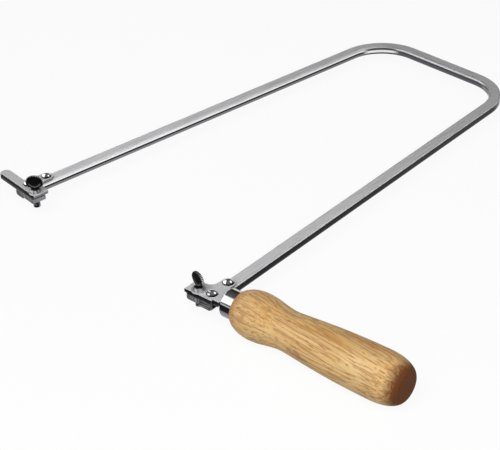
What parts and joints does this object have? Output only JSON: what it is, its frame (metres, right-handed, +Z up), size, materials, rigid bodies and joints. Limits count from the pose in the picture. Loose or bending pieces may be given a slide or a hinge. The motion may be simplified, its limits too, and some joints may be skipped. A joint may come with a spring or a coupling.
{
  "type": "fret saw",
  "caption": "Fret saw: deep bent-bar bow with a thumb-screw blade clamp on each arm, a thumb tab at the far end and a turned wooden handle in line with the blade.",
  "frame": {"origin": "on the handle clamp's screw axis, at the face of the upper jaw that the blade is gripped against", "axes": "+X along the blade towards the handle, +Y towards the back of the bow, +Z up, towards the thumb screws"},
  "size_m": [0.2935, 0.2916, 0.0281],
  "materials": {
    "bow_steel": "satin",
    "sheet_steel": "satin",
    "rivet_steel": "polished",
    "jaw_steel": "brushed",
    "screw_steel": "blackened, semi-gloss",
    "washer_steel": "bright",
    "ferrule_steel": "polished",
    "tang_steel": "plain",
    "wood": "varnished"
  },
  "bodies": {
    "frame": {"bow": "bow_steel", "handle_bracket": "sheet_steel", "handle_bracket_rivets": "rivet_steel", "handle_tang": "tang_steel", "ferrule": "ferrule_steel", "grip": "wood", "handle_clamp_washer": "washer_steel", "far_bracket": "sheet_steel", "far_bracket_rivets": "rivet_steel", "far_clamp_washer": "washer_steel"},
    "handle_screw": {"handle_clamp_screw": "screw_steel"},
    "handle_jaw": {"handle_clamp_jaw": "jaw_steel"},
    "far_screw": {"far_clamp_screw": "screw_steel"},
    "far_jaw": {"far_clamp_jaw": "jaw_steel"}
  },
  "joints": [
    {"name": "handle_screw_turn", "type": "hinge", "parent": "frame", "child": "handle_screw", "pos_m": [0, 0, 0], "axis": [0, 0, 1], "range_deg": [0, 1080]},
    {"name": "handle_jaw_drop", "type": "slide", "parent": "frame", "child": "handle_jaw", "axis": [0, 0, -1], "range_m": [0, 0.0021]},
    {"name": "far_screw_turn", "type": "hinge", "parent": "frame", "child": "far_screw", "pos_m": [-0.1365, 0, 0], "axis": [0, 0, 1], "range_deg": [0, 1080]},
    {"name": "far_jaw_drop", "type": "slide", "parent": "frame", "child": "far_jaw", "axis": [0, 0, -1], "range_m": [0, 0.0021]}
  ],
  "couplings": [
    {"joint": "handle_screw_turn", "follows": "handle_jaw_drop", "rad_per_m": 8976},
    {"joint": "far_screw_turn", "follows": "far_jaw_drop", "rad_per_m": 8976}
  ]
}
